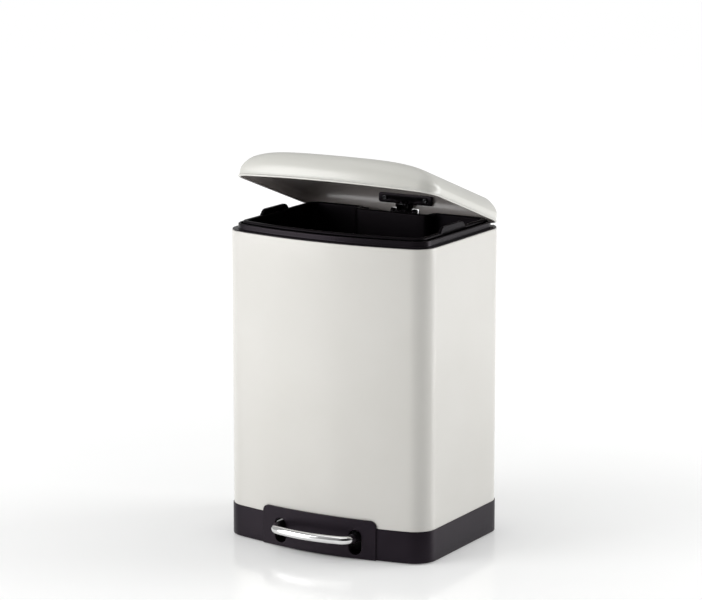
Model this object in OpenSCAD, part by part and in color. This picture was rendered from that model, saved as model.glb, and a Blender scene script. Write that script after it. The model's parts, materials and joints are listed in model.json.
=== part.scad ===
// Pedal trash can: painted steel body, hinged lid, lift-out bucket, foot lever and push rod.
// Millimetres, +Z up, pedal towards -Y. The lid is drawn at its rest opening.

/* [Body] */
// Width across the flat sides
body_width = 293; // [240:1:360]
// Depth of the flat sides, front corners to back wall
side_depth = 203; // [170:1:250]
// How far the front wall bows out at its middle
front_bow = 19.5; // [10:0.5:30]
// Corner radius in plan
corner_radius = 29.5; // [28:0.5:34]
// Floor to the top edge of the painted body
body_height = 400; // [320:1:500]
// Sheet thickness of body and lid
sheet = 0.8; // [0.6:0.1:1.2]
// Width of the folded ledge round the body's top
ledge_width = 7; // [5:0.5:8]

/* [Base] */
// Height of the black base band
base_height = 42.5; // [40:0.5:50]
// How far the band stands out from the body
band_proud = 1; // [0.5:0.5:2]
// How far the pedal panel stands out from the body
panel_proud = 2.8; // [2:0.2:4]
// Half width of the pedal panel
panel_half = 83; // [75:1:95]
// Top of the pedal panel
panel_top = 52; // [48:1:60]
// Distance of each pedal slot from the middle
slot_x = 55; // [48:1:62]
// Width of each pedal slot
slot_width = 18; // [17:0.5:20]
// Height of each slot's lower end above the floor
slot_low = 6; // [4:0.5:7]
// Band left above each slot
slot_drop = 4; // [3:0.5:5]
// Thickness of the rubber feet showing below the band
foot_show = 1.5; // [1:0.5:4]

/* [Pedal] */
// Thickness of the chrome pedal bar
bar_dia = 10.5; // [9:0.5:12]
// How far the bar's centre line stands off the body's front
bar_reach = 28; // [26:1:34]
// Height of the lever's pivot
pivot_z = 25; // [23:0.5:26]
// Foot travel at the bar from shut to fully open
pedal_travel = 16; // [14:0.5:18]

/* [Lid] */
// Opening of the lid in the stored pose, in degrees
lid_open = 19.5; // [10:0.5:30]
// Full opening of the lid, in degrees
lid_full = 80; // [70:1:85]
// Height of the hinge line above the body's top
hinge_rise = 6; // [5.5:0.5:8]
// Distance of the hinge line inside the back wall
hinge_inset = 2.5; // [2:0.5:3]
// Gap between body and lid rims when shut
lid_gap = 2; // [1.5:0.5:3]
// Plain height of the lid's rim wall
lid_skirt = 9.4; // [8:0.2:12]
// Height of the pillow above the rim wall
lid_dome = 27; // [22:0.5:32]
// How much the pillow falls towards its sides
lid_fall = 0.69; // [0.3:0.01:0.75]
// Radius of the push rod's crank on the lid
crank_radius = 12; // [11:0.5:13]

/* [Bucket] */
// Inset of the bucket's wall from the body
bucket_inset = 19; // [17:0.5:24]
// Height of the bucket's rim above the body's top
bucket_rise = 11; // [10:0.5:14]
// Wall thickness of the bucket
bucket_wall = 2; // [1.5:0.1:3]
// Half width of the recess behind the bucket
recess_half = 50; // [44:1:56]

/* [Hidden] */
$fn = 64;

half_w = body_width / 2;
back_y = side_depth / 2;
// Front wall: one large arc, tangent to both corner arcs
arc_r = (half_w * half_w + front_bow * front_bow) / (2 * front_bow);
arc_y = -back_y - front_bow + arc_r;
cor_x = half_w - corner_radius;
cor_b = back_y - corner_radius;
cor_f = arc_y - sqrt(pow(arc_r - corner_radius, 2) - cor_x * cor_x);
cor_a = atan2(cor_f - arc_y, cor_x);
front_y = -back_y - front_bow;
// Hinge line, and the crank's swing from shut to full
hinge_y = back_y - hinge_inset;
hinge_z = body_height + hinge_rise;
crank_shut = -lid_full / 2;
rod_stroke = 2 * crank_radius * sin(lid_full / 2);
// Slot of the rod head: centred on the straight-line travel
slot_y = hinge_y - crank_radius * (1 + cos(lid_full / 2)) / 2;
slot_z = hinge_z + rod_stroke * (lid_open / lid_full - 0.5);
rod_y = hinge_y - crank_radius * 0.86;
// Back of the rod head, clear of the lid's hinge knuckle
knuckle_r = 4.2;
head_back = hinge_y - knuckle_r - 0.5;
// Pedal lever: level at half travel
bar_y = front_y - bar_reach;
lever_long = pedal_travel / (pedal_travel + rod_stroke) * (rod_y - bar_y - 7);
pivot_y = bar_y + 7 + lever_long;
lever_swing = 2 * asin(rod_stroke / 2 / (rod_y - pivot_y));
lever_now = lever_swing * (lid_open / lid_full - 0.5);
lever_rear_z = pivot_z + 2.2 + (rod_y - pivot_y) * tan(lever_now);
// Bar centre line: bow, bends and legs; the sleeves start just behind the bends
leg_x = slot_x;
bend_r = 13;
bow_r = 165;
bow_y = bar_y + bow_r;
bend_x = leg_x - bend_r;
bend_y = bow_y - sqrt(pow(bow_r - bend_r, 2) - bend_x * bend_x);
bend_a = atan2(bow_y - bend_y, bend_x);
sleeve_y = bend_y + 1.1;
// Heights inside the base
floor_z = base_height - 5;
floor_top = floor_z + 2;
bucket_base = floor_top + 0.3;
bucket_top = body_height + bucket_rise;
// Collar wall inside the ledge, its flange on the ledge, and the bucket rim's gap to it
collar_out = -ledge_width - 1;
collar_in = collar_out - 3;
rim_out = collar_in - 3;
flange = 1;
lug_thick = 4.5;
flange_inset = 0.5;
// The lid's rear edge swings down behind the collar over this half width
swing_half = half_w - 14;
// Lid plan: a little inside the body and set back
lid_off = -2.5;
lid_back = 3;
lid_z = body_height + lid_gap;
dome_r = 18.6;
fall_power = 5.5;
crown_y = -9;
// Half size of the notches for the hinge in lid, ledge and collar
lid_notch = 20;
ledge_notch = 23;
collar_notch = 28;
// Base band: wall, foot flange, shelf under the body floor
band_wall = 2.2;
foot_flange = 26;
shelf = 10;
shelf_thick = 2.5;
// Floor screws: distance in from the sides, and to each side of the middle
floor_screw_in = 7.2;
floor_screw_y = 60;
screw_r = 1.2;
// Lever tube, axle and the brackets at its ends
axle_r = 3;
axle_half = 86;
bracket_x = 79;
bracket_r = 11;
clip_x = 82;
tube_r = 5.5;
tube_half = 76;
tongue_half = 9;
// Depth inside the front wall of sleeves and bar ends
sleeve_in = 16;
bar_in = 12;
// Push rod, its bores and its foot
rod_r = 2.5;
rod_bore = 2.6;
foot_r = 4;
foot_bore = 5.5;
// Crank pin and the fore and aft half travel of its slot
crank_pin_r = 2;
slot_bore = 2.5;
slot_half = 1.4;
// Hinge ears, pin and screws of the hinge bracket
ear_x = 15.5;
pin_r = 2.5;
bracket_screw_x = 21;
bracket_screw_z = body_height - 22;

// Plan outline of the body, grown or shrunk by o; the corner discs stand a hair proud
module plan(o) {
    r = corner_radius + o;
    tx = cor_x + r * cos(cor_a);
    translate([-cor_x - r, cor_f]) square([2 * (cor_x + r), cor_b - cor_f]);
    translate([-cor_x, cor_f]) square([2 * cor_x, cor_b + r - cor_f]);
    for (s = [-1, 1]) {
        translate([s * cor_x, cor_b]) circle(r = r + 0.02);
        translate([s * cor_x, cor_f]) circle(r = r + 0.02);
    }
    intersection() {
        translate([0, arc_y]) circle(r = arc_r + o, $fn = 720);
        translate([-tx, front_y - 20]) square([2 * tx, cor_f + 5 - front_y + 20]);
    }
}

module prism(o, z0, z1) {
    translate([0, 0, z0]) linear_extrude(z1 - z0) plan(o);
}

module ring(o1, o2, z0, z1) {
    difference() {
        prism(o1, z0, z1);
        prism(o2, z0 - 1, z1 + 1);
    }
}

module box(x0, x1, y0, y1, z0, z1) {
    translate([x0, y0, z0]) cube([x1 - x0, y1 - y0, z1 - z0]);
}

module rod_x(r, x0, x1, y, z) {
    translate([x0, y, z]) rotate([0, 90, 0]) cylinder(r = r, h = x1 - x0);
}

module rod_y_axis(r, y0, y1, x, z) {
    translate([x, y0, z]) rotate([-90, 0, 0]) cylinder(r = r, h = y1 - y0);
}

// Lid geometry: rings of points from the crown down, round the rim and up inside
function front_pts(o) = [for (i = [0:15])
    let (a = -(90 + cor_a) + i * (180 + 2 * cor_a) / 16)
    [(arc_r + o) * sin(a), arc_y - (arc_r + o) * cos(a)]];
function arc_pts(cx, cy, r, a0, a1, n) = [for (i = [0:n - 1])
    let (a = a0 + i * (a1 - a0) / n) [cx + r * cos(a), cy + r * sin(a)]];
function line_pts(p, q, n) = [for (i = [0:n - 1]) p + (q - p) * i / n];
function plan_pts(o) = let (r = corner_radius + o) concat(
    front_pts(o),
    arc_pts(cor_x, cor_f, r, cor_a, 0, 6),
    line_pts([cor_x + r, cor_f], [cor_x + r, cor_b], 4),
    arc_pts(cor_x, cor_b, r, 0, 90, 6),
    line_pts([cor_x, cor_b + r], [-cor_x, cor_b + r], 8),
    arc_pts(-cor_x, cor_b, r, 90, 180, 6),
    line_pts([-cor_x - r, cor_b], [-cor_x - r, cor_f], 4),
    arc_pts(-cor_x, cor_f, r, 180, 180 - cor_a, 6));
function fall(x) = 1 - lid_fall * pow(min(1, abs(x) / half_w), fall_power);
function lift(p, e, t) = [p[0], p[1] + lid_back,
    lid_z + lid_skirt + lid_dome * e * fall(p[0]) - t];
function flat_ring(o, z) = [for (p = plan_pts(o)) [p[0], p[1] + lid_back, lid_z + z]];
function dome_ring(o, a, t) = [for (p = plan_pts(o - dome_r * (1 - cos(a))))
    lift(p, sin(a), t)];
function crown_ring(o, k, t) = [for (p = plan_pts(o - dome_r))
    lift([p[0] * k, crown_y + (p[1] - crown_y) * k], 1, t)];
in_off = lid_off - sheet;
lid_rings = concat(
    [for (k = [0.2, 0.4, 0.6, 0.78, 0.9]) crown_ring(lid_off, k, 0)],
    [for (a = [90, 75, 60, 45, 30, 15, 0]) dome_ring(lid_off, a, 0)],
    [flat_ring(lid_off, 3), flat_ring(lid_off + 1.2, 2.3), flat_ring(lid_off + 1.2, 0.7),
        flat_ring(lid_off - 0.4, 0), flat_ring(in_off - 1.2, 0.7), flat_ring(in_off - 1.2, 2.3),
        flat_ring(in_off, 3)],
    [for (a = [0, 15, 30, 45, 60, 75, 90]) dome_ring(in_off, a, sheet * sin(a))],
    [for (k = [0.9, 0.78, 0.6, 0.4, 0.2]) crown_ring(in_off, k, sheet)]);
lid_loop = [for (r = lid_rings) for (p = r) p];
lid_pts = concat(lid_loop, [lift([0, crown_y], 1, 0), lift([0, crown_y], 1, sheet)]);
lid_count = len(lid_rings);
lid_n = len(lid_rings[0]);
lid_faces = concat(
    [for (k = [0:lid_count - 2]) for (i = [0:lid_n - 1]) let (j = (i + 1) % lid_n)
        [k * lid_n + i, k * lid_n + j, (k + 1) * lid_n + i]],
    [for (k = [0:lid_count - 2]) for (i = [0:lid_n - 1]) let (j = (i + 1) % lid_n)
        [k * lid_n + j, (k + 1) * lid_n + j, (k + 1) * lid_n + i]],
    [for (i = [0:lid_n - 1]) [lid_count * lid_n, (i + 1) % lid_n, i]],
    [for (i = [0:lid_n - 1]) let (b = (lid_count - 1) * lid_n)
        [lid_count * lid_n + 1, b + i, b + (i + 1) % lid_n]]);

// Everything is moved so the whole object is centred front to back on the origin
lid_reach = max([for (p = lid_pts)
    hinge_y + (p[1] - hinge_y) * cos(lid_open) + (p[2] - hinge_z) * sin(lid_open)]);
y_shift = -(lid_reach + bar_y - bar_dia / 2) / 2;

module centred() {
    translate([0, y_shift, 0]) children();
}

module lid_pose() {
    translate([0, y_shift + hinge_y, hinge_z]) rotate([-lid_open, 0, 0])
        translate([0, -hinge_y, -hinge_z]) children();
}

module pedal_pose() {
    translate([0, y_shift + pivot_y, pivot_z]) rotate([lever_now, 0, 0])
        translate([0, -pivot_y, -pivot_z]) children();
}

// Painted wall with a folded ledge round its top, open at the hinge
module body_shell() color([0.86, 0.85, 0.82]) centred() {
    difference() {
        union() {
            ring(0, -sheet, floor_z, body_height);
            ring(0, -ledge_width, body_height - 1, body_height);
        }
        box(-ledge_notch, ledge_notch, hinge_y - 10, back_y - sheet, body_height - 5,
            body_height + 5);
    }
}

// One slot for a pedal arm: an upright shape with round ends, cut front to back
module pedal_slot(s) {
    r = slot_width / 2;
    translate([s * slot_x, 0, 0]) {
        box(-r, r, front_y - 30, front_y + 30, slot_low + r,
            base_height - slot_drop - r);
        rod_y_axis(r, front_y - 30, front_y + 30, 0, slot_low + r);
        rod_y_axis(r, front_y - 30, front_y + 30, 0, base_height - slot_drop - r);
    }
}

module base_band() color([0.13, 0.12, 0.13]) centred() {
    difference() {
        union() {
            ring(band_proud, -band_wall, foot_show, floor_z);
            ring(band_proud, 0, floor_z, base_height);
            ring(-band_wall, -foot_flange, foot_show, foot_show + shelf_thick);
            ring(-band_wall, -shelf, floor_z - shelf_thick, floor_z);
        }
        for (s = [-1, 1]) {
            pedal_slot(s);
            intersection() {
                box(s * slot_x - 12, s * slot_x + 12, front_y, front_y + 40, 10, floor_z + 1);
                prism(-band_wall, 5, base_height);
            }
        }
        for (s = [-1, 1]) for (t = [-1, 1])
            translate([s * (half_w - floor_screw_in), t * floor_screw_y, 0])
                cylinder(r = screw_r, h = 60);
        translate([0, rod_y, floor_z - 5]) cylinder(r = foot_bore, h = 8);
        box(-tongue_half - 2, tongue_half + 2, rod_y - 2, back_y - 3, floor_z - 5, floor_z);
    }
}

module pedal_panel() color([0.13, 0.12, 0.13]) centred() {
    intersection() {
        difference() {
            ring(panel_proud, band_proud, foot_show, base_height);
            for (s = [-1, 1]) pedal_slot(s);
        }
        box(-panel_half, panel_half, front_y - 10, front_y + 22, 0, base_height);
    }
    intersection() {
        ring(panel_proud, 0, base_height, panel_top);
        union() {
            box(-panel_half, panel_half, front_y - 10, front_y + 22, base_height, panel_top - 8);
            box(8 - panel_half, panel_half - 8, front_y - 10, front_y + 22, base_height, panel_top);
            for (s = [-1, 1])
                rod_y_axis(8, front_y - 10, front_y + 22, s * (panel_half - 8), panel_top - 8);
        }
    }
}

module base_floor() color([0.2, 0.2, 0.21]) centred() {
    difference() {
        prism(-sheet, floor_z, floor_top);
        translate([0, rod_y, floor_z - 1]) cylinder(r = foot_bore, h = 4);
        for (s = [-1, 1]) for (t = [-1, 1])
            translate([s * (half_w - floor_screw_in), t * floor_screw_y, floor_z - 1])
                cylinder(r = screw_r + 0.5, h = 4);
    }
}

module floor_screws() color([0.62, 0.62, 0.64]) centred() {
    for (s = [-1, 1]) for (t = [-1, 1])
        translate([s * (half_w - floor_screw_in), t * floor_screw_y, floor_z]) {
        translate([0, 0, -2.5]) cylinder(r = screw_r, h = 4.5);
        difference() {
            translate([0, 0, 2]) cylinder(r = 3, h = 1.6);
            translate([-2, -0.35, 3]) cube([4, 0.7, 2]);
            translate([-0.35, -2, 3]) cube([0.7, 4, 2]);
        }
    }
}

module rubber_feet() color([0.1, 0.1, 0.1]) centred() {
    for (s = [-1, 1]) {
        translate([s * (cor_x + 11.5), cor_b + 11.5, 0]) cylinder(r = 8, h = foot_show);
        translate([s * (cor_x + 11.5), cor_f - 11.5, 0]) cylinder(r = 8, h = foot_show);
    }
}

module axle_brackets() color([0.55, 0.56, 0.58]) centred() {
    for (s = [-1, 1]) difference() {
        union() {
            box(s * bracket_x - 1.5, s * bracket_x + 1.5, pivot_y - bracket_r,
                pivot_y + bracket_r, pivot_z, floor_z);
            rod_x(bracket_r, s * bracket_x - 1.5, s * bracket_x + 1.5, pivot_y, pivot_z);
            box(s * (bracket_x + 7) - 8.5, s * (bracket_x + 7) + 8.5, pivot_y - bracket_r,
                pivot_y + bracket_r, floor_z - 2, floor_z);
        }
        rod_x(axle_r, s * bracket_x - 5, s * bracket_x + 5, pivot_y, pivot_z);
    }
}

module pedal_axle() color([0.62, 0.62, 0.64]) centred() {
    rod_x(axle_r, -axle_half, axle_half, pivot_y, pivot_z);
}

module axle_clips() color([0.45, 0.45, 0.47]) centred() {
    for (s = [-1, 1]) difference() {
        rod_x(axle_r + 2.5, s * clip_x - 0.8, s * clip_x + 0.8, pivot_y, pivot_z);
        rod_x(axle_r, s * clip_x - 2, s * clip_x + 2, pivot_y, pivot_z);
    }
}

// Two front arms, a cross plate on the axle and one rear tongue under the push rod
module pedal_lever() color([0.16, 0.16, 0.17]) pedal_pose() {
    difference() {
        union() {
            for (s = [-1, 1])
                box(s * slot_x - 2.5, s * slot_x + 2.5, front_y + sleeve_in, pivot_y + 6,
                    pivot_z - 5, pivot_z + 5);
            box(-slot_x - 2, slot_x + 2, pivot_y - 12, pivot_y - 7.5, pivot_z - 4.5, pivot_z + 4.5);
            box(-slot_x - 2, slot_x + 2, pivot_y + 4.6, pivot_y + 9, pivot_z - 4, pivot_z + 1.6);
            box(-tongue_half, tongue_half, pivot_y + 7, rod_y + 5, pivot_z - 0.8, pivot_z + 2.2);
            for (s = [-1, 1])
                box(s * 7.5 - 1.5, s * 7.5 + 1.5, pivot_y + 7, rod_y - 12, pivot_z - 5, pivot_z + 1);
            rod_x(tube_r, -tube_half, tube_half, pivot_y, pivot_z);
        }
        rod_x(axle_r + 0.05, -tube_half - 4, tube_half + 4, pivot_y, pivot_z);
    }
}

// Pedal bar: a long bow, two tight bends and two legs into the base
module bar_bow() {
    translate([0, bow_y, pivot_z]) rotate([0, 0, -180 + bend_a])
        rotate_extrude(angle = 180 - 2 * bend_a) translate([bow_r, 0]) circle(d = bar_dia);
}

// Each bend stops just short of its neighbours; a thin ring a hair larger joins them
module bar_bend(s) {
    a = s > 0 ? -bend_a + 2 : 182;
    translate([s * bend_x, bend_y, pivot_z]) rotate([0, 0, a])
        rotate_extrude(angle = bend_a - 4) translate([bend_r, 0]) circle(d = bar_dia);
}

module bar_joint(x, y, turn) {
    translate([x, y, pivot_z]) rotate([90, 0, turn])
        cylinder(d = bar_dia + 0.3, h = 2, center = true);
}

module pedal_bar() color([0.8, 0.8, 0.82]) pedal_pose() {
    bar_bow();
    for (s = [-1, 1]) {
        bar_bend(s);
        rod_y_axis(bar_dia / 2, bend_y, front_y + bar_in, s * leg_x, pivot_z);
        bar_joint(s * leg_x, bend_y, 0);
        bar_joint(s * bow_r * cos(bend_a), bow_y - bow_r * sin(bend_a), -s * bend_a);
    }
}

module pedal_sleeves() color([0.1, 0.1, 0.1]) pedal_pose() {
    for (s = [-1, 1]) difference() {
        rod_y_axis(bar_dia / 2 + 0.75, sleeve_y, front_y + sleeve_in, s * leg_x, pivot_z);
        rod_y_axis(bar_dia / 2, sleeve_y - 1, front_y + bar_in, s * leg_x, pivot_z);
    }
}

// Guide tower on the base floor: wide below for the foot, a close bore above
module rod_guide() color([0.75, 0.75, 0.73]) centred() {
    difference() {
        union() {
            translate([0, rod_y, floor_top]) cylinder(r = 8, h = 20);
            translate([0, rod_y, floor_top]) cylinder(r = 10.5, h = 2);
        }
        translate([0, rod_y, floor_top - 1]) cylinder(r = foot_bore, h = 12);
        translate([0, rod_y, floor_top]) cylinder(r = rod_bore, h = 30);
    }
}

module push_rod() color([0.66, 0.66, 0.68]) centred() {
    translate([0, rod_y, lever_rear_z + 3])
        cylinder(r = rod_r, h = slot_z - 6 - lever_rear_z - 3);
}

module rod_foot() color([0.75, 0.75, 0.73]) centred() {
    difference() {
        translate([0, rod_y, lever_rear_z + 0.3]) union() {
            translate([0, 0, 4]) cylinder(r = foot_r, h = 6);
            intersection() {
                translate([0, 0, 2 * foot_r]) sphere(r = 2 * foot_r);
                cylinder(r = foot_r, h = 4);
            }
        }
        translate([0, rod_y, lever_rear_z + 3]) cylinder(r = rod_r, h = 10);
    }
}

// Head of the rod: a slot that takes up the crank's small fore and aft movement
module rod_head() color([0.75, 0.75, 0.73]) centred() {
    difference() {
        box(-3.4, 3.4, slot_y - 6.4, head_back, slot_z - 9, slot_z + 5.2);
        box(-5, 5, slot_y - slot_half, slot_y + slot_half, slot_z - slot_bore, slot_z + slot_bore);
        for (s = [-1, 1]) rod_x(slot_bore, -5, 5, slot_y + s * slot_half, slot_z);
        translate([0, rod_y, slot_z - 12]) cylinder(r = rod_r, h = 6);
    }
}

// Collar between ledge and bucket, lower behind the bucket and open at the hinge
module top_collar() color([0.13, 0.12, 0.13]) centred() {
    difference() {
        union() {
            ring(collar_out, collar_in, body_height - 14, body_height + 8);
            ring(-sheet, collar_out - 1, body_height - 4, body_height - 1);
            ring(-flange_inset, collar_out - 1, body_height, body_height + flange);
        }
        box(-recess_half, recess_half, back_y - 20, back_y, body_height + flange, body_height + 10);
        box(-collar_notch, collar_notch, back_y - 20, back_y, body_height - 20,
            body_height + 10);
        box(-swing_half, swing_half, back_y + collar_out, back_y, body_height, body_height + 10);
    }
}

module hinge_bracket() color([0.55, 0.56, 0.58]) centred() {
    difference() {
        union() {
            box(-25, 25, back_y - sheet - 3, back_y - sheet, body_height - 30, body_height - 1.5);
            box(-10, 10, rod_y - 8, back_y - sheet - 3, body_height - 16, body_height - 13);
            for (s = [-1, 1]) {
                box(s * ear_x - 2, s * ear_x + 2, hinge_y - 6, back_y - sheet, body_height - 24,
                    body_height - 1.5);
                box(s * ear_x - 2, s * ear_x + 2, hinge_y - knuckle_r, hinge_y + 1.2,
                    body_height - 2, hinge_z);
                rod_x(knuckle_r, s * ear_x - 2, s * ear_x + 2, hinge_y, hinge_z);
            }
        }
        rod_x(pin_r, -30, 30, hinge_y, hinge_z);
        translate([0, rod_y, body_height - 20]) cylinder(r = rod_bore, h = 10);
        for (s = [-1, 1])
            rod_y_axis(1.5, back_y - 6, back_y + 2, s * bracket_screw_x, bracket_screw_z);
    }
}

// Cross-slotted pan head screw along Y; its shank ends at y, its head is towards -Y
module pan_screw(x, y, z) {
    rod_y_axis(1.5, y - 3, y, x, z);
    difference() {
        rod_y_axis(3, y - 4.8, y - 3, x, z);
        box(x - 2, x + 2, y - 6, y - 4, z - 0.35, z + 0.35);
        box(x - 0.35, x + 0.35, y - 6, y - 4, z - 2, z + 2);
    }
}

module bracket_screws() color([0.62, 0.62, 0.64]) centred() {
    for (s = [-1, 1]) pan_screw(s * bracket_screw_x, back_y - sheet, bracket_screw_z);
}

module hinge_pin() color([0.66, 0.66, 0.68]) centred() {
    rod_x(pin_r, -17.5, 19.2, hinge_y, hinge_z);
    rod_x(pin_r + 1.5, -19, -17.5, hinge_y, hinge_z);
}

module pin_clip() color([0.45, 0.45, 0.47]) centred() {
    difference() {
        rod_x(pin_r + 1.5, 17.5, 18.5, hinge_y, hinge_z);
        rod_x(pin_r, 17, 19.5, hinge_y, hinge_z);
    }
}

module lid_shell() color([0.86, 0.85, 0.82]) lid_pose() {
    difference() {
        polyhedron(points = lid_pts, faces = lid_faces, convexity = 6);
        box(-lid_notch, lid_notch, back_y - 9, back_y + 9, lid_z - 1, lid_z + 9);
    }
}

// T-shaped bracket inside the lid: plate, stem, hinge knuckle and crank arms
plate_tilt = 20;
plate_half = 39.5;
plate_high = 12.5;
plate_round = 3;
plate_screw_x = 30;
plate_z = lid_z + 14.8;
plate_y = back_y + lid_off + lid_back - sheet - 0.8;

module rounded_plate(half, high, r) {
    box(-half, half, -3, 0, r, high - r);
    box(r - half, half - r, -3, 0, 0, high);
    for (s = [-1, 1]) for (z = [r, high - r]) rod_y_axis(r, -3, 0, s * (half - r), z);
}

module on_plate() {
    translate([0, plate_y, plate_z]) rotate([plate_tilt, 0, 0]) children();
}

module on_crank() {
    translate([0, hinge_y, hinge_z]) rotate([crank_shut, 0, 0]) children();
}

module lid_bracket() color([0.13, 0.12, 0.13]) lid_pose() {
    difference() {
        union() {
            on_plate() rounded_plate(plate_half, plate_high, plate_round);
            box(-11, 11, plate_y - 3.2, plate_y, hinge_z, plate_z + 3);
            rod_x(knuckle_r, -11, 11, hinge_y, hinge_z);
            on_crank() for (s = [-1, 1]) translate([s * 6.25, 0, 0]) {
                box(-1.75, 1.75, -crank_radius, -2, -3, 3);
                rod_x(3.6, -1.75, 1.75, -crank_radius, 0);
            }
        }
        rod_x(pin_r + 0.05, -20, 20, hinge_y, hinge_z);
        on_crank() rod_x(crank_pin_r, -20, 20, -crank_radius, 0);
        on_crank() box(-4.5, 4.5, -crank_radius - 6, -crank_radius + 7.3, -9, 9);
        on_plate() for (s = [-1, 1]) rod_y_axis(1.5, -5, 2, s * plate_screw_x, plate_high / 2);
    }
}

module lid_screws() color([0.62, 0.62, 0.64]) lid_pose() {
    on_plate() for (s = [-1, 1]) pan_screw(s * plate_screw_x, 0, plate_high / 2);
}

module crank_pin() color([0.66, 0.66, 0.68]) lid_pose() {
    on_crank() rod_x(crank_pin_r, -9, 9, -crank_radius, 0);
}

// Bucket plan with a recess behind for the push rod
module bucket_plan(o, cut) {
    difference() {
        plan(o);
        translate([-recess_half - 5 + cut, back_y - 36 + cut])
            square([2 * (recess_half + 5 - cut), 60]);
    }
}

module finger_lug(s) {
    lug_x = half_w + rim_out - lug_thick / 2;
    translate([s * lug_x, -11, bucket_top - 2.5]) rotate([90, 0, 90])
        translate([0, 0, -lug_thick / 2]) linear_extrude(lug_thick)
            polygon([[-34, 0], [-28, 8.5], [-25, 9.5], [25, 9.5], [28, 8.5], [34, 0]]);
}

module inner_bucket() color([0.1, 0.1, 0.1]) centred() {
    difference() {
        union() {
            translate([0, 0, bucket_base]) linear_extrude(bucket_top - bucket_base)
                bucket_plan(-bucket_inset, 0);
            translate([0, 0, bucket_top - 3]) linear_extrude(3)
                bucket_plan(rim_out, 5);
        }
        translate([0, 0, bucket_base + 2]) linear_extrude(500)
            bucket_plan(-bucket_inset - bucket_wall, -bucket_wall);
    }
    for (s = [-1, 1]) finger_lug(s);
}

body_shell();
base_band();
pedal_panel();
base_floor();
floor_screws();
rubber_feet();
axle_brackets();
pedal_axle();
axle_clips();
pedal_lever();
pedal_sleeves();
pedal_bar();
rod_guide();
push_rod();
rod_foot();
rod_head();
top_collar();
hinge_bracket();
bracket_screws();
hinge_pin();
pin_clip();
lid_shell();
lid_bracket();
lid_screws();
crank_pin();
inner_bucket();
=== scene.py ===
import json
import math
import bmesh
import bpy
from mathutils import Matrix, Vector


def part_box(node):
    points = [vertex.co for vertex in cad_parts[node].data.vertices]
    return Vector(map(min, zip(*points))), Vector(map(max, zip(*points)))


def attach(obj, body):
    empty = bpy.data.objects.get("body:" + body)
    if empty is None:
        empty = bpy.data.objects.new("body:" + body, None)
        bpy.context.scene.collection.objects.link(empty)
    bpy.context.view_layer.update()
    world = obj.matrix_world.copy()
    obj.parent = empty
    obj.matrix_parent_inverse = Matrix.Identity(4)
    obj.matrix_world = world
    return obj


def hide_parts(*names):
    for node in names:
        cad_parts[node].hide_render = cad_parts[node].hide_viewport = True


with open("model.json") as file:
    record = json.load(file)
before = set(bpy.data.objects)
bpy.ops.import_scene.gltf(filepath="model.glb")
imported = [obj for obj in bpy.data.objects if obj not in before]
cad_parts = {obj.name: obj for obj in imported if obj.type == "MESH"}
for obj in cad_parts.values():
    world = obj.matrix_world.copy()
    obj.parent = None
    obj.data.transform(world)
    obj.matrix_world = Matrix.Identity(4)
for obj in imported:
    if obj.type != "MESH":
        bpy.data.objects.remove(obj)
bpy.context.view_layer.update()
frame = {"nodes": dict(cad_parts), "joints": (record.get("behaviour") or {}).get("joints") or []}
mm = 0.001
up = Vector((0, 0, 1))
print("frame loaded:", len(frame["nodes"]), "nodes")

# places taken from the frame
bodyLow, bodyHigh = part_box("body_shell")
joints = {joint["name"]: joint for joint in frame["joints"]}
plan = {"cornerRadius": 29.5 * mm, "frontBow": 19.5 * mm}
halfWidth = bodyHigh.x
backY = bodyHigh.y
frontY = bodyLow.y
bodyTop = bodyHigh.z
midY = (frontY + plan["frontBow"] + backY) / 2
arcRadius = (halfWidth ** 2 + plan["frontBow"] ** 2) / (2 * plan["frontBow"])
arcY = frontY + arcRadius
cornerX = halfWidth - plan["cornerRadius"]
cornerBackY = backY - plan["cornerRadius"]
cornerFrontY = arcY - math.sqrt((arcRadius - plan["cornerRadius"]) ** 2 - cornerX ** 2)
frontTurn = 90 + math.degrees(math.atan2(cornerFrontY - arcY, cornerX))


# node helpers
def addNode(tree, kind, inputs=None, **settings):
    node = tree.nodes.new(kind)
    for name, value in settings.items():
        setattr(node, name, value)
    for name, value in (inputs or {}).items():
        if isinstance(value, bpy.types.NodeSocket):
            tree.links.new(value, node.inputs[name])
        else:
            node.inputs[name].default_value = value
    return node


def blendColour(tree, amount, dark, light):
    mix = addNode(tree, "ShaderNodeMix", data_type="RGBA")
    for socket, value in ((mix.inputs[0], amount), (mix.inputs[6], dark), (mix.inputs[7], light)):
        if isinstance(value, bpy.types.NodeSocket):
            tree.links.new(value, socket)
        else:
            socket.default_value = value
    return mix.outputs[2]


def spread(tree, value, fromLow, fromHigh, toLow, toHigh):
    node = addNode(tree, "ShaderNodeMapRange", {"Value": value})
    for name, number in (("From Min", fromLow), ("From Max", fromHigh),
                         ("To Min", toLow), ("To Max", toHigh)):
        node.inputs[name].default_value = number
    return node.outputs["Result"]


def newGroup(name, inputs, outputs):
    tree = bpy.data.node_groups.new(name, "ShaderNodeTree")
    for label, value in inputs.items():
        socket = tree.interface.new_socket(name=label, in_out="INPUT", socket_type="NodeSocketFloat")
        socket.default_value = value
    for label in outputs:
        tree.interface.new_socket(name=label, in_out="OUTPUT", socket_type="NodeSocketFloat")
    entry = tree.nodes.new("NodeGroupInput")
    leave = tree.nodes.new("NodeGroupOutput")
    return tree, entry.outputs, leave.inputs


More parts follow.
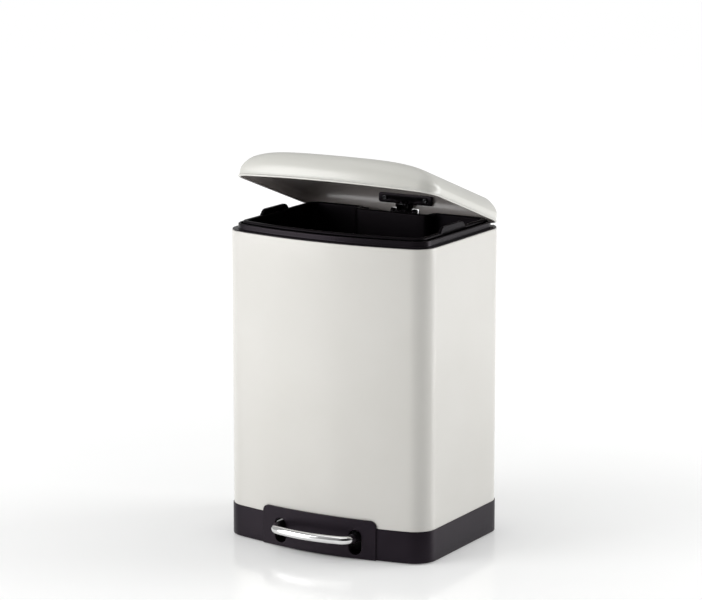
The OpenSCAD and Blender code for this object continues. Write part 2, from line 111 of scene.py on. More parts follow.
# shared surface effects
def buildOrangePeel():        # soft ripple of sprayed paint with a finer tooth on top
    tree, entry, leave = newGroup("orangePeel", {"Ripple": 420, "Tooth": 2600, "Mix": 0.3},
                                  ["Height", "Cloud"])
    place = addNode(tree, "ShaderNodeTexCoord").outputs["Object"]
    ripple = addNode(tree, "ShaderNodeTexNoise", {"Vector": place, "Scale": entry["Ripple"], "Detail": 2.0})
    tooth = addNode(tree, "ShaderNodeTexNoise", {"Vector": place, "Scale": entry["Tooth"], "Detail": 1.0})
    cloud = addNode(tree, "ShaderNodeTexNoise", {"Vector": place, "Scale": 7.0, "Detail": 4.0})
    part = addNode(tree, "ShaderNodeMath", {0: tooth.outputs["Fac"], 1: entry["Mix"]}, operation="MULTIPLY")
    total = addNode(tree, "ShaderNodeMath", {0: ripple.outputs["Fac"], 1: part.outputs[0]}, operation="ADD")
    tree.links.new(total.outputs[0], leave["Height"])
    tree.links.new(cloud.outputs["Fac"], leave["Cloud"])
    return tree


def buildMouldGrain():        # spark-eroded texture of moulded plastic
    tree, entry, leave = newGroup("mouldGrain", {"Grain": 1500, "Flow": 16}, ["Height", "Cloud"])
    place = addNode(tree, "ShaderNodeTexCoord").outputs["Object"]
    grain = addNode(tree, "ShaderNodeTexNoise", {"Vector": place, "Scale": entry["Grain"], "Detail": 3.0,
                                                 "Roughness": 0.6})
    pits = addNode(tree, "ShaderNodeTexVoronoi", {"Vector": place, "Scale": entry["Grain"]})
    flow = addNode(tree, "ShaderNodeTexNoise", {"Vector": place, "Scale": entry["Flow"], "Detail": 3.0})
    total = addNode(tree, "ShaderNodeMath", {0: grain.outputs["Fac"], 1: pits.outputs["Distance"]},
                    operation="ADD")
    tree.links.new(total.outputs[0], leave["Height"])
    tree.links.new(flow.outputs["Fac"], leave["Cloud"])
    return tree


def buildEdgeRub():        # rubbed corners: the piece's own edge attribute broken up by noise
    tree, entry, leave = newGroup("edgeRub", {"Break": 180, "Amount": 0.6}, ["Mask"])
    place = addNode(tree, "ShaderNodeTexCoord").outputs["Object"]
    worn = addNode(tree, "ShaderNodeAttribute", attribute_name="edgeRub")
    patch = addNode(tree, "ShaderNodeTexNoise", {"Vector": place, "Scale": entry["Break"], "Detail": 4.0})
    keep = spread(tree, patch.outputs["Fac"], 0.45, 0.62, 0.0, 1.0)
    both = addNode(tree, "ShaderNodeMath", {0: worn.outputs["Fac"], 1: keep}, operation="MULTIPLY")
    final = addNode(tree, "ShaderNodeMath", {0: both.outputs[0], 1: entry["Amount"]}, operation="MULTIPLY")
    tree.links.new(final.outputs[0], leave["Mask"])
    return tree


def buildDrawLines():        # fine lines along X left by drawing or brushing
    tree, entry, leave = newGroup("drawLines", {"Lines": 2200, "Along": 0.02}, ["Height", "Cloud"])
    place = addNode(tree, "ShaderNodeTexCoord").outputs["Object"]
    stretch = addNode(tree, "ShaderNodeCombineXYZ", {"X": entry["Along"], "Y": 1.0, "Z": 1.0})
    pulled = addNode(tree, "ShaderNodeVectorMath", {0: place, 1: stretch.outputs[0]}, operation="MULTIPLY")
    lines = addNode(tree, "ShaderNodeTexNoise", {"Vector": pulled.outputs[0], "Scale": entry["Lines"],
                                                 "Detail": 2.0})
    cloud = addNode(tree, "ShaderNodeTexNoise", {"Vector": place, "Scale": 60.0, "Detail": 4.0})
    tree.links.new(lines.outputs["Fac"], leave["Height"])
    tree.links.new(cloud.outputs["Fac"], leave["Cloud"])
    return tree


effects = {"orangePeel": buildOrangePeel(), "mouldGrain": buildMouldGrain(),
           "edgeRub": buildEdgeRub(), "drawLines": buildDrawLines()}
print("surface effects built")


# materials
def startMaterial(name):
    material = bpy.data.materials.new(name)
    material.use_nodes = True
    tree = material.node_tree
    return material, tree, tree.nodes["Principled BSDF"]


def useEffect(tree, name, **values):
    node = tree.nodes.new("ShaderNodeGroup")
    node.node_tree = effects[name]
    for label, value in values.items():
        node.inputs[label].default_value = value
    return node.outputs


def addBump(tree, shader, height, strength, distance):
    bump = addNode(tree, "ShaderNodeBump", {"Height": height, "Strength": strength, "Distance": distance})
    tree.links.new(bump.outputs["Normal"], shader.inputs["Normal"])


def sprayedPaint(name, dark, light, settings):        # powder coat: slight peel, soft clouding, bare rubs
    material, tree, shader = startMaterial(name)
    peel = useEffect(tree, "orangePeel", Ripple=settings["ripple"])
    rub = useEffect(tree, "edgeRub", Amount=settings["rub"])
    tone = spread(tree, peel["Cloud"], 0.3, 0.7, 0.0, 1.0)
    paint = blendColour(tree, tone, dark, light)
    tree.links.new(blendColour(tree, rub["Mask"], paint, settings["bare"]), shader.inputs["Base Color"])
    tree.links.new(spread(tree, peel["Cloud"], 0.25, 0.75, settings["smooth"], settings["rough"]),
                   shader.inputs["Roughness"])
    shader.inputs["Coat Weight"].default_value = settings["coat"]
    shader.inputs["Coat Roughness"].default_value = settings["coatRough"]
    addBump(tree, shader, peel["Height"], settings["bump"], 0.0002)
    return material


def mouldedPlastic(name, dark, light, settings):        # satin or matt plastic with rubbed edges
    material, tree, shader = startMaterial(name)
    grain = useEffect(tree, "mouldGrain", Grain=settings["grain"])
    rub = useEffect(tree, "edgeRub", Amount=settings["rub"])
    base = blendColour(tree, spread(tree, grain["Cloud"], 0.3, 0.7, 0.0, 1.0), dark, light)
    tree.links.new(blendColour(tree, rub["Mask"], base, settings["polish"]), shader.inputs["Base Color"])
    tree.links.new(spread(tree, grain["Cloud"], 0.25, 0.75, settings["smooth"], settings["rough"]),
                   shader.inputs["Roughness"])
    shader.inputs["Specular IOR Level"].default_value = settings["gloss"]
    shader.inputs["Specular Tint"].default_value = settings["glossTint"]
    addBump(tree, shader, grain["Height"], settings["bump"], 0.0002)
    return material


def bareMetal(name, dark, light, settings):        # drawn, plated or polished metal
    material, tree, shader = startMaterial(name)
    lines = useEffect(tree, "drawLines", Lines=settings["lines"], Along=settings["along"])
    tree.links.new(blendColour(tree, spread(tree, lines["Cloud"], 0.35, 0.65, 0.0, 1.0), dark, light),
                   shader.inputs["Base Color"])
    tree.links.new(spread(tree, lines["Cloud"], 0.3, 0.7, settings["smooth"], settings["rough"]),
                   shader.inputs["Roughness"])
    shader.inputs["Metallic"].default_value = 1.0
    addBump(tree, shader, lines["Height"], settings["bump"], 0.0001)
    return material


def grey(value, warm=0.0):
    return (value * (1 + warm), value, value * (1 - warm), 1.0)


paintLook = {"ripple": 420, "rub": 0.25, "bare": grey(0.55), "smooth": 0.3, "rough": 0.38,
             "coat": 0.5, "coatRough": 0.16, "bump": 0.04}
plasticLook = {"grain": 1500, "rub": 0.35, "polish": grey(0.02), "smooth": 0.3, "rough": 0.4,
               "gloss": 0.16, "glossTint": (1.0, 0.84, 1.0, 1), "bump": 0.05}
metalLook = {"lines": 2200, "along": 0.02, "smooth": 0.2, "rough": 0.36, "bump": 0.05}
finishes = {
    "bodyPaint": sprayedPaint("bodyPaint", (0.66, 0.645, 0.605, 1), (0.69, 0.675, 0.64, 1), paintLook),
    "lidInside": sprayedPaint("lidInside", (0.47, 0.43, 0.415, 1), (0.5, 0.46, 0.445, 1), paintLook),
    "lidPaint": sprayedPaint("lidPaint", (0.65, 0.645, 0.60, 1), (0.685, 0.68, 0.635, 1), paintLook),
    "baseBlack": mouldedPlastic("baseBlack", (0.0085, 0.0062, 0.0095, 1), (0.011, 0.0082, 0.012, 1),
                                plasticLook),
    "panelBlack": mouldedPlastic("panelBlack", (0.008, 0.0058, 0.009, 1), (0.0105, 0.0078, 0.0115, 1),
                                 {**plasticLook, "grain": 1300}),
    "collarBlack": mouldedPlastic("collarBlack", (0.0035, 0.0028, 0.0038, 1), (0.005, 0.004, 0.0054, 1),
                                  {**plasticLook, "smooth": 0.2, "rough": 0.27, "gloss": 0.15, "bump": 0.02}),
    "bucketBlack": mouldedPlastic("bucketBlack", (0.0014, 0.0012, 0.0015, 1), (0.0022, 0.0018, 0.0024, 1),
                                  {**plasticLook, "grain": 900, "polish": grey(0.008), "smooth": 0.34,
                                   "rough": 0.44, "gloss": 0.09}),
    "bracketBlack": mouldedPlastic("bracketBlack", (0.003, 0.0026, 0.0034, 1), (0.0045, 0.0039, 0.005, 1),
                                   {**plasticLook, "grain": 1800, "gloss": 0.15}),
    "sleeveBlack": mouldedPlastic("sleeveBlack", (0.003, 0.0026, 0.0034, 1), (0.0045, 0.0039, 0.005, 1),
                                  {**plasticLook, "grain": 1900}),
    "floorGrey": mouldedPlastic("floorGrey", (0.022, 0.022, 0.024, 1), (0.032, 0.032, 0.035, 1),
                                {**plasticLook, "grain": 800, "rough": 0.65}),
    "footRubber": mouldedPlastic("footRubber", (0.012, 0.012, 0.012, 1), (0.02, 0.02, 0.02, 1),
                                 {**plasticLook, "grain": 700, "smooth": 0.7, "rough": 0.85, "gloss": 0.3}),
    "whiteNylon": mouldedPlastic("whiteNylon", (0.6, 0.59, 0.55, 1), (0.68, 0.67, 0.64, 1),
                                 {**plasticLook, "polish": grey(0.75), "rub": 0.3}),
    "leverCoat": sprayedPaint("leverCoat", grey(0.003), grey(0.005),
                              {**paintLook, "bare": grey(0.02), "rub": 0.7, "smooth": 0.5, "rough": 0.65,
                               "coat": 0.05}),
    "zincPlate": bareMetal("zincPlate", (0.46, 0.47, 0.49, 1), (0.6, 0.61, 0.62, 1),
                           {**metalLook, "lines": 900, "along": 1.0, "rough": 0.42}),
    "drawnSteel": bareMetal("drawnSteel", (0.5, 0.5, 0.52, 1), (0.6, 0.6, 0.61, 1), metalLook),
    "springSteel": bareMetal("springSteel", (0.3, 0.3, 0.33, 1), (0.4, 0.4, 0.43, 1), metalLook),
    "blackedSteel": bareMetal("blackedSteel", (0.03, 0.03, 0.032, 1), (0.05, 0.05, 0.053, 1), metalLook),
    "polishedChrome": bareMetal("polishedChrome", (0.78, 0.78, 0.78, 1), (0.84, 0.84, 0.84, 1),
                                {**metalLook, "lines": 500, "smooth": 0.02, "rough": 0.05, "bump": 0.004}),
}
print("materials built:", len(finishes))


# modelling helpers
def vertsOf(parts):
    return [part for part in parts if isinstance(part, bmesh.types.BMVert)]


def edgesWithin(parts, verts):        # the edges that have both ends in a set of points
    return [part for part in parts if isinstance(part, bmesh.types.BMEdge)
            and part.verts[0] in verts and part.verts[1] in verts]


def spinRound(bm, geom, centre, axis, degrees, steps, merge=False):
    return bmesh.ops.spin(bm, geom=geom, cent=centre, axis=axis, dvec=(0, 0, 0),
                          angle=math.radians(degrees), steps=steps, use_merge=merge,
                          use_normal_flip=False, use_duplicate=False)["geom_last"]


def bentEdges(bm, degrees):        # edges between two faces that meet at more than this angle
    return [e for e in bm.edges if e.is_manifold and abs(e.calc_face_angle(0)) > math.radians(degrees)]


def bevelEdges(bm, edges, width, segments):
    bmesh.ops.bevel(bm, geom=edges, offset=width, segments=segments, affect="EDGES", profile=0.5,
                    material=-1, clamp_overlap=True)


def pullFaces(bm, faces, move):        # faces to a solid of this depth
    deep = bmesh.ops.extrude_face_region(bm, geom=faces)["geom"]
    bmesh.ops.translate(bm, verts=vertsOf(deep), vec=move)


def traceOutline(start, outward, legs):        # one half leg by leg, then mirrored in X
    bm = bmesh.new()
    vert = bm.verts.new((start[0], start[1], 0))
    out = Vector((outward[0], outward[1], 0))
    seat = {vert: (vert.co.copy(), out.copy())}
    for leg in legs:
        known = set(bm.verts)
        turn = leg.get("turn", 0.0)
        if turn:
            spinRound(bm, [vert], (*leg["centre"], 0), up, turn, leg["steps"])
        else:
            stride = (Vector((*leg["to"], 0)) - vert.co) / leg["steps"]
            tip = vert
            for _ in range(leg["steps"]):
                tip = bmesh.ops.extrude_vert_indiv(bm, verts=[tip])["verts"][0]
                tip.co += stride
        fresh = [v for v in bm.verts if v not in known]
        for count, point in enumerate(fresh, 1):
            angle = math.radians(turn) * count / leg["steps"]
            seat[point] = (point.co.copy(), Matrix.Rotation(angle, 3, "Z") @ out)
        out = Matrix.Rotation(math.radians(turn), 3, "Z") @ out
        vert = fresh[-1]
    first = list(seat.values())
    bmesh.ops.mirror(bm, geom=list(bm.verts) + list(bm.edges), matrix=Matrix.Identity(4),
                     merge_dist=1e-6, axis="X")
    for point in bm.verts:
        near = min(first, key=lambda s: abs(abs(point.co.x) - s[0].x) + abs(point.co.y - s[0].y))
        side = -1 if point.co.x < -1e-7 else 1
        seat[point] = (point.co.copy(), Vector((near[1].x * side, near[1].y, 0)))
    return bm, {"edges": list(bm.edges), "seat": {v: seat[v] for v in bm.verts}}


def nextRing(bm, ring, rule):        # one more ring, every point placed from its seat on the outline
    made = bmesh.ops.extrude_edge_only(bm, edges=ring["edges"])["geom"]
    fresh = set(vertsOf(made))
    seat = {}
    for vert in fresh:
        parent = next(e.other_vert(vert) for e in vert.link_edges if e.other_vert(vert) not in fresh)
        seat[vert] = ring["seat"][parent]
        vert.co = rule(*seat[vert])
    return {"edges": edgesWithin(made, fresh), "seat": seat}


def sweepSection(bm, ring, section):        # section points are (outward, height)
    first = True
    for outward, height in section:
        def rule(foot, out, outward=outward, height=height):
            return Vector((foot.x, foot.y, 0)) + out * outward + up * height
        if first:
            for vert, seat in ring["seat"].items():
                vert.co = rule(*seat)
            first = False
        else:
            ring = nextRing(bm, ring, rule)
    return ring


def quarter(centre, radius, start, end, steps=4):        # rounded corner of a section
    points = []
    for step in range(steps + 1):
        angle = math.radians(start + (end - start) * step / steps)
        points.append((centre[0] + radius * math.cos(angle), centre[1] + radius * math.sin(angle)))
    return points


def closeSection(bm):        # the last ring lies on the first one
    bmesh.ops.remove_doubles(bm, verts=bm.verts, dist=1e-6)
    bmesh.ops.recalc_face_normals(bm, faces=bm.faces)


def bodyPlan(frontSteps=26, cornerSteps=12, sideSteps=6, backSteps=8):
    return traceOutline((0, frontY), (0, -1), [
        {"centre": (0, arcY), "turn": frontTurn, "steps": frontSteps},
        {"centre": (cornerX, cornerFrontY), "turn": 90 - frontTurn, "steps": cornerSteps},
        {"to": (halfWidth, cornerBackY), "steps": sideSteps},
        {"centre": (cornerX, cornerBackY), "turn": 90, "steps": cornerSteps},
        {"to": (0, backY), "steps": backSteps}])


def makeObject(name, bm, sharpAngle=32):
    mesh = bpy.data.meshes.new(name)
    bm.to_mesh(mesh)
    bm.free()
    obj = bpy.data.objects.new(name, mesh)
    bpy.context.scene.collection.objects.link(obj)
    smoothFaces(obj, sharpAngle)
    return obj


def smoothFaces(obj, sharpAngle=32):
    mesh = obj.data
    mesh.polygons.foreach_set("use_smooth", [True] * len(mesh.polygons))
    mesh.set_sharp_from_angle(angle=math.radians(sharpAngle))


def cutterBox(bm, low, high):
    made = bmesh.ops.create_cube(bm, size=1.0)["verts"]
    size = Vector(high) - Vector(low)
    bmesh.ops.scale(bm, verts=made, vec=size)
    bmesh.ops.translate(bm, verts=made, vec=(Vector(high) + Vector(low)) / 2)


def cutAway(obj, cutter, sharpAngle=32):        # boolean difference, applied at once
    mesh = bpy.data.meshes.new("cutter")
    bmesh.ops.recalc_face_normals(cutter, faces=cutter.faces)
    cutter.to_mesh(mesh)
    cutter.free()
    tool = bpy.data.objects.new("cutter", mesh)
    bpy.context.scene.collection.objects.link(tool)
    modifier = obj.modifiers.new("cut", "BOOLEAN")
    modifier.operation = "DIFFERENCE"
    modifier.solver = "EXACT"
    modifier.object = tool
    graph = bpy.context.evaluated_depsgraph_get()
    result = bpy.data.meshes.new_from_object(obj.evaluated_get(graph))
    obj.modifiers.clear()
    obj.data = result
    bpy.data.objects.remove(tool)
    smoothFaces(obj, sharpAngle)


def markRubs(obj, sharpAngle=20):        # 1 on points of sharp or tightly bent edges, else 0
    bm = bmesh.new()
    bm.from_mesh(obj.data)
    layer = bm.verts.layers.float.new("edgeRub")
    for edge in bm.edges:
        if len(edge.link_faces) == 2 and abs(edge.calc_face_angle(0.0)) > math.radians(sharpAngle):
            for vert in edge.verts:
                vert[layer] = 1.0
    bm.to_mesh(obj.data)
    bm.free()


def finishPiece(obj, body, finish, slotName, *nodes):
    markRubs(obj)
    obj.data.materials.clear()
    obj.data.materials.append(finishes[finish])
    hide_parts(*nodes)
    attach(obj, body)
    print("  piece", obj.name, "triangles", sum(len(p.vertices) - 2 for p in obj.data.polygons))


def hingeTurn(joint, degrees):
    return Vector(joints[joint]["pos_m"]), Matrix.Rotation(math.radians(degrees), 3, joints[joint]["axis"])


def aboutHinge(bm, joint, degrees):        # turn a mesh drawn shut to the frame's rest pose
    pivot, turn = hingeTurn(joint, degrees)
    bmesh.ops.rotate(bm, verts=bm.verts, cent=pivot, matrix=turn)


# painted body
bodyDims = {"sheet": 0.8 * mm, "ledge": 7.0 * mm, "edgeRound": 1.7 * mm, "lip": 2.6 * mm,
            "lipRound": 1.0 * mm, "lipWidth": 0.7 * mm, "lipUnder": 1.1 * mm, "footRing": 4 * mm,
            "middleRing": 200 * mm, "notchHalf": 23 * mm, "notchDeep": 9.5 * mm, "notchLow": 4 * mm,
            "notchHigh": 5 * mm}


def buildBodyShell():
    d = bodyDims
    low, inner, r = bodyLow.z, -d["sheet"], d["edgeRound"]
    lip, soft, under = -d["ledge"], d["lipRound"], bodyTop - d["lipUnder"]
    section = [(0, low), (0, low + d["footRing"]), (0, bodyTop - d["middleRing"]), (0, bodyTop - r)]
    section += quarter((-r, bodyTop - r), r, 0, 90, 5)[1:]
    section += [(lip + soft, bodyTop)]
    section += quarter((lip + soft, bodyTop - soft), soft, 90, 180, 4)[1:]
    section += [(lip, bodyTop - d["lip"]), (lip + d["lipWidth"], bodyTop - d["lip"]),
                (lip + d["lipWidth"], under), (-r, under), (inner, bodyTop - r - 0.3 * mm), (inner, low),
                (0, low)]
    bm, ring = bodyPlan()
    sweepSection(bm, ring, section)
    closeSection(bm)
    shell = makeObject("paintedBody", bm)
    notch = bmesh.new()
    cutterBox(notch, (-d["notchHalf"], backY - d["notchDeep"], bodyTop - d["notchLow"]),
              (d["notchHalf"], backY - d["sheet"], bodyTop + d["notchHigh"]))
    cutAway(shell, notch)
    finishPiece(shell, "root", "bodyPaint", "body_paint", "body_shell")


buildBodyShell()
print("body done")

# base band and pedal panel
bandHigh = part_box("base_band")[1].z
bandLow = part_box("base_band")[0].z
bandDims = {"proud": 1.0 * mm, "wall": 2.2 * mm, "flange": 26 * mm, "flangeThick": 2.5 * mm,
            "shelf": 10 * mm, "shelfThick": 2.5 * mm, "seatDrop": 5 * mm, "round": 0.7 * mm,
            "rodGapHalf": 11 * mm, "rodGapLead": 2 * mm, "rodGapWall": 3 * mm}
slotDims = {"x": 55 * mm, "radius": 9 * mm, "low": 6 * mm, "drop": 4 * mm}
panelDims = {"half": 83 * mm, "proud": 2.8 * mm, "top": 52 * mm, "cornerRadius": 8 * mm,
             "cornerSteps": 8, "bevel": 0.9 * mm, "strip": 3.0 * mm}


def slotEnds():        # centres of a slot's two round ends
    return slotDims["low"] + slotDims["radius"], bandHigh - slotDims["drop"] - slotDims["radius"]


def slotRing(bm, x, y, grow=0.0, steps=40):        # closed loop in the XZ plane
    lowEnd, highEnd = slotEnds()
    turn = Matrix.Translation((x, y, lowEnd)) @ Matrix.Rotation(math.radians(90), 4, "X")
    made = bmesh.ops.create_circle(bm, cap_ends=False, segments=steps,
                                   radius=slotDims["radius"] + grow, matrix=turn)["verts"]
    for vert in made:
        if vert.co.z > lowEnd + 1e-7:
            vert.co.z += highEnd - lowEnd
    return made


def buildBaseBand():
    d = bandDims
    r, seat = d["round"], bandHigh - d["seatDrop"]
    section = [(-d["flange"], bandLow), (d["proud"] - r, bandLow)]
    section += quarter((d["proud"] - r, bandLow + r), r, -90, 0, 3)[1:]
    section += [(d["proud"], bandLow + 8 * mm), (d["proud"], bandHigh - r)]
    section += quarter((d["proud"] - r, bandHigh - r), r, 0, 90, 3)[1:]
    section += [(0.05 * mm, bandHigh), (0.05 * mm, seat), (-d["shelf"], seat),
                (-d["shelf"], seat - d["shelfThick"]), (-d["wall"], seat - d["shelfThick"]),
                (-d["wall"], bandLow + d["flangeThick"]), (-d["flange"], bandLow + d["flangeThick"]),
                (-d["flange"], bandLow)]
    bm, ring = bodyPlan()
    sweepSection(bm, ring, section)
    closeSection(bm)
    band = makeObject("baseBand", bm)
    slots = bmesh.new()
    for side in (-1, 1):
        ring = slotRing(slots, side * slotDims["x"], frontY - 12 * mm, 0.05 * mm)
        edges = [e for e in slots.edges if e.verts[0] in ring]
        face = bmesh.ops.contextual_create(slots, geom=edges)["faces"]
        pullFaces(slots, face, (0, 30 * mm, 0))
    cutAway(band, slots)
    rodLow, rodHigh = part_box("push_rod")
    rodY = (rodLow.y + rodHigh.y) / 2
    gap = bmesh.new()        # room in the rear shelf for the push rod's foot and the lever's tongue
    cutterBox(gap, (-d["rodGapHalf"], rodY - d["rodGapLead"], seat - 2 * d["shelfThick"]),
              (d["rodGapHalf"], backY - d["rodGapWall"], seat + d["shelfThick"]))
    cutAway(band, gap)
    finishPiece(band, "root", "baseBlack", "black_plastic", "base_band")


def bendOnFront(bm):        # a flat plate's depth becomes the distance off the bowed front
    for vert in bm.verts:
        reach = arcRadius + vert.co.y
        vert.co.y = arcY - math.sqrt(reach ** 2 - vert.co.x ** 2)


def splitPlate(bm, place, normal):
    bmesh.ops.bisect_plane(bm, geom=list(bm.verts) + list(bm.edges) + list(bm.faces), dist=1e-7,
                           plane_co=place, plane_no=normal)


def buildPedalPanel():
    d = panelDims
    half, top, r, low = d["half"], d["top"], d["cornerRadius"], bandLow
    bm = bmesh.new()
    corners = [bm.verts.new((-half, 0, low)), bm.verts.new((half, 0, low))]
    bm.edges.new(corners)
    tip = corners[1]
    for axis, reach, centreX in ((2, top - r, half - r), (0, -half + r, -half + r)):        # up, then across
        tip = bmesh.ops.extrude_vert_indiv(bm, verts=[tip])["verts"][0]
        tip.co[axis] = reach
        spinRound(bm, [tip], (centreX, 0, top - r), (0, -1, 0), 90, d["cornerSteps"])
        bm.verts.ensure_lookup_table()
        tip = bm.verts[-1]
    bm.edges.new((tip, corners[0]))
    for side in (-1, 1):
        slotRing(bm, side * slotDims["x"], 0)
    bmesh.ops.triangle_fill(bm, use_beauty=True, use_dissolve=False, edges=list(bm.edges))
    across = -half + d["strip"]
    while across < half - 0.5 * mm:        # upright cuts, so that the plate can bend
        splitPlate(bm, (across, 0, 0), (1, 0, 0))
        across += d["strip"]
    splitPlate(bm, (0, 0, bandHigh + 0.3 * mm), (0, 0, 1))
    back = bmesh.ops.extrude_face_region(bm, geom=list(bm.faces))["geom"]
    for vert in vertsOf(back):
        vert.co.y = -(d["proud"] - bandDims["proud"]) if vert.co.z < bandHigh + 0.2 * mm else -d["proud"]
    bmesh.ops.recalc_face_normals(bm, faces=bm.faces)
    bm.normal_update()
    rim = [e for e in bentEdges(bm, 60) if all(abs(v.co.y) < 1e-6 for v in e.verts)]
    bevelEdges(bm, rim, d["bevel"], 3)
    bmesh.ops.translate(bm, verts=bm.verts, vec=(0, d["proud"], 0))
    bendOnFront(bm)
    panel = makeObject("pedalPanel", bm, 28)
    finishPiece(panel, "root", "panelBlack", "panel_plastic", "pedal_panel")


buildBaseBand()
buildPedalPanel()
print("base done")

# pedal bar and its sleeves
barDims = {"radius": 5.25 * mm, "reach": 28 * mm, "bow": 165 * mm, "bend": 13 * mm, "inside": 12 * mm,
           "bendSteps": 14, "bowSteps": 48, "sleeveBehind": 1.1 * mm, "sleeveIn": 16 * mm,
           "sleeveWall": 0.75 * mm, "sleeveRound": 0.4 * mm}
pedalPivot = Vector(joints["pedal_pivot"]["pos_m"])
pedalRange = joints["pedal_pivot"]["range_deg"]
pedalTilt = -(pedalRange[0] + pedalRange[1]) / 2        # level is half way
bowY = frontY - barDims["reach"] + barDims["bow"]
bendX = slotDims["x"] - barDims["bend"]
bendY = bowY - math.sqrt((barDims["bow"] - barDims["bend"]) ** 2 - bendX ** 2)


def tiltPedal(bm):
    aboutHinge(bm, "pedal_pivot", pedalTilt)


def buildPedalBar():
    d = barDims
    z = pedalPivot.z
    bendTurn = math.degrees(math.atan2(bowY - bendY, bendX))
    bm = bmesh.new()
    start = Matrix.Translation((slotDims["x"], frontY + d["inside"], z)) @ Matrix.Rotation(
        math.radians(90), 4, "X")
    bmesh.ops.create_circle(bm, cap_ends=True, segments=32, radius=d["radius"], matrix=start)
    ring = list(bm.edges)

    def runStraight(edges, length):
        made = bmesh.ops.extrude_edge_only(bm, edges=edges)["geom"]
        fresh = set(vertsOf(made))
        bmesh.ops.translate(bm, verts=list(fresh), vec=(0, length, 0))
        return edgesWithin(made, fresh)

    def runRound(edges, x, y, turn, steps):
        verts = list({v for e in edges for v in e.verts})
        made = spinRound(bm, verts + edges, (x, y, z), up, turn, steps)
        return edgesWithin(made, set(vertsOf(made)))

    leg = bendY - (frontY + d["inside"])
    ring = runStraight(ring, leg)
    ring = runRound(ring, bendX, bendY, -bendTurn, d["bendSteps"])
    ring = runRound(ring, 0, bowY, -(180 - 2 * bendTurn), d["bowSteps"])
    ring = runRound(ring, -bendX, bendY, -bendTurn, d["bendSteps"])
    ring = runStraight(ring, -leg)
    bmesh.ops.holes_fill(bm, edges=ring, sides=0)
    closeSection(bm)
    tiltPedal(bm)
    bar = makeObject("pedalBow", bm)
    finishPiece(bar, "pedal", "polishedChrome", "chrome_bar", "pedal_bar")


def lathe(bm, profile, matrix, steps):        # profile points are (radius, height) about Z
    known = set(bm.verts)
    verts = [bm.verts.new((radius, 0, height)) for radius, height in profile]
    edges = [bm.edges.new((a, b)) for a, b in zip(verts, verts[1:])]
    spinRound(bm, verts + edges, (0, 0, 0), up, 360, steps, merge=True)
    bmesh.ops.remove_doubles(bm, verts=[v for v in bm.verts if v not in known], dist=1e-6)
    bmesh.ops.transform(bm, matrix=matrix, verts=[v for v in bm.verts if v not in known])


def buildSleeves():
    d = barDims
    bm = bmesh.new()
    outer, inner = d["radius"] + d["sleeveWall"], d["radius"] + 0.02 * mm
    sleeveY = bendY + d["sleeveBehind"]
    longIn = frontY + d["sleeveIn"] - sleeveY
    r = d["sleeveRound"]
    profile = [(inner, 0), (outer - r, 0)]
    profile += quarter((outer - r, r), r, -90, 0, 3)[1:]
    profile += [(outer, longIn - r / 2), (outer - r / 2, longIn), (inner, longIn), (inner, 0)]
    for side in (-1, 1):
        place = Matrix.Translation((side * slotDims["x"], sleeveY, pedalPivot.z))
        lathe(bm, profile, place @ Matrix.Rotation(math.radians(-90), 4, "X"), 32)
    closeSection(bm)
    tiltPedal(bm)
    sleeves = makeObject("barSleeves", bm)
    finishPiece(sleeves, "pedal", "sleeveBlack", "sleeve_plastic", "pedal_sleeves")


buildPedalBar()
buildSleeves()
print("pedal done")

# collar round the mouth
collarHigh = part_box("top_collar")[1].z
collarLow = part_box("top_collar")[0].z
collarDims = {"out": 8 * mm, "wall": 3 * mm, "round": 1.48 * mm, "flangeLow": 4 * mm, "flangeHigh": 1.2 * mm,
              "coverEdge": 0.5 * mm, "coverThick": 1.0 * mm, "coverRound": 0.45 * mm, "fillet": 1.6 * mm,
              "notchHalf": 28 * mm, "notchDeep": 20 * mm, "lowHalf": 50 * mm, "swingHalf": 132.5 * mm}


def buildCollar():
    d = collarDims
    out, wall, r = -d["out"], -d["out"] - d["wall"], d["round"]
    underTop, underLow = bodyTop - d["flangeHigh"], bodyTop - d["flangeLow"]
    edge, coverTop, soft, fillet = -d["coverEdge"], bodyTop + d["coverThick"], d["coverRound"], d["fillet"]
    hidden, seat = -bodyDims["sheet"] - 0.05 * mm, bodyTop + 0.02 * mm        # clear of wall and ledge
    section = [(hidden, underLow), (hidden, underTop - 0.5 * mm), (out + 1.2 * mm, underTop - 0.1 * mm),
               (out + 0.95 * mm, seat), (edge - 0.2 * mm, seat)]
    section += quarter((edge - soft, seat + soft), soft, -60, 90, 5)        # cover on the ledge
    section += [(out + fillet + 1.5 * mm, coverTop)]
    section += quarter((out + fillet, coverTop + fillet), fillet, -90, -180, 5)
    section += [(out, collarHigh - r)]
    section += quarter((out - r, collarHigh - r), r, 0, 90, 5)[1:]        # full round bead
    section += quarter((wall + r, collarHigh - r), r, 90, 180, 5)
    section += [(wall, collarLow), (out, collarLow), (out, underLow), (hidden, underLow)]
    bm, ring = bodyPlan()
    sweepSection(bm, ring, section)
    closeSection(bm)
    collar = makeObject("mouthCollar", bm)
    for half, deep, low in (
            (d["notchHalf"], d["notchDeep"], -d["notchDeep"]),        # room for the hinge
            (d["lowHalf"], d["notchDeep"], d["coverThick"]),        # low behind the bucket
            (d["swingHalf"], d["out"], 0.05 * mm)):        # no cover where the lid's edge swings down
        cuts = bmesh.new()
        cutterBox(cuts, (-half, backY - deep, bodyTop + low), (half, backY + 1 * mm, bodyTop + 12 * mm))
        cutAway(collar, cuts)
    finishPiece(collar, "root", "collarBlack", "collar_plastic", "top_collar")


buildCollar()
print("collar done")

